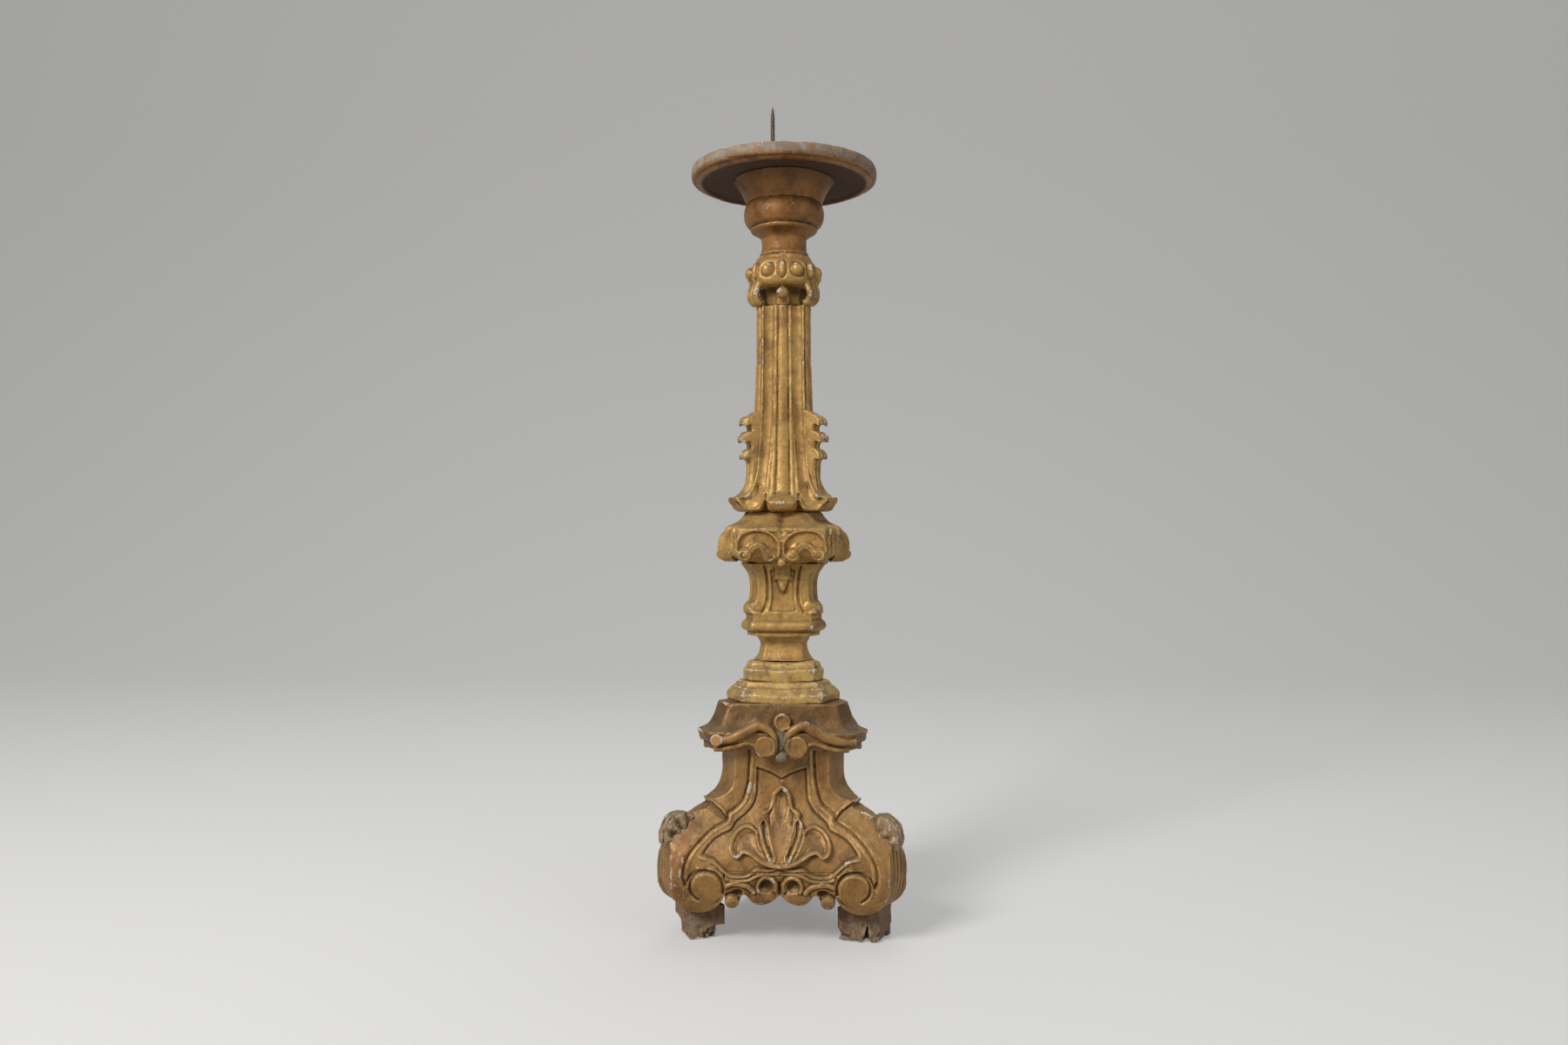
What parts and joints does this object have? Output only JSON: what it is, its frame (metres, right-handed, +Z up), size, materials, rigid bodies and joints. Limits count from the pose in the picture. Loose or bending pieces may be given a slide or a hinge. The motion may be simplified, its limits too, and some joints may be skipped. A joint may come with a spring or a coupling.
{
  "type": "pricket candle stand",
  "caption": "Three-sided carved and gilded torchere: scroll-legged base with palmettes, fluted shaft, turned drip pan and an iron pricket for one candle.",
  "frame": {"origin": "on the floor at the centre of the three feet, which is on the stand's centre line", "axes": "+Z up along the centre line; the front face looks along -Y, and +X is to the right seen from the front"},
  "size_m": [0.276, 0.2522, 0.934],
  "materials": {
    "gilding": "worn ochre-gold gilding over white gesso and red bole, satin",
    "dark_gilding": "darkened gilding, satin",
    "bare_wood": "bare softwood, matt",
    "worn_foot_wood": "grey worn wood with traces of gilding, matt",
    "iron": "dark rusted wrought iron"
  },
  "bodies": {
    "root": {"pricket": "iron", "drip_pan": "dark_gilding", "pan_stem": "dark_gilding", "bead_collar": "gilding", "shaft": "gilding", "leaf_curls_front_right": "gilding", "leaf_curls_back": "gilding", "leaf_curls_front_left": "gilding", "mid_knop": "gilding", "knop_scrolls_front": "gilding", "knop_scrolls_right": "gilding", "knop_scrolls_left": "gilding", "knop_pedestal": "gilding", "lower_neck": "gilding", "plinth_upper": "gilding", "plinth_lower": "gilding", "roof_cap": "gilding", "roof_scrolls_front": "gilding", "roof_scrolls_right": "gilding", "roof_scrolls_left": "gilding", "top_block": "bare_wood", "base_panel_front": "gilding", "base_panel_right": "gilding", "base_panel_left": "gilding", "palmette_front": "gilding", "palmette_right": "gilding", "palmette_left": "gilding", "apron_front": "gilding", "apron_right": "gilding", "apron_left": "gilding", "scroll_leg_front_right": "gilding", "scroll_leg_back": "gilding", "scroll_leg_front_left": "gilding", "leg_leaf_front_right": "gilding", "leg_leaf_back": "gilding", "leg_leaf_front_left": "gilding", "corner_blocks": "bare_wood", "foot_front_right": "worn_foot_wood", "foot_back": "worn_foot_wood", "foot_front_left": "worn_foot_wood", "foot_dowels": "bare_wood", "upper_dowel": "bare_wood", "lower_dowel": "bare_wood"}
  },
  "joints": []
}
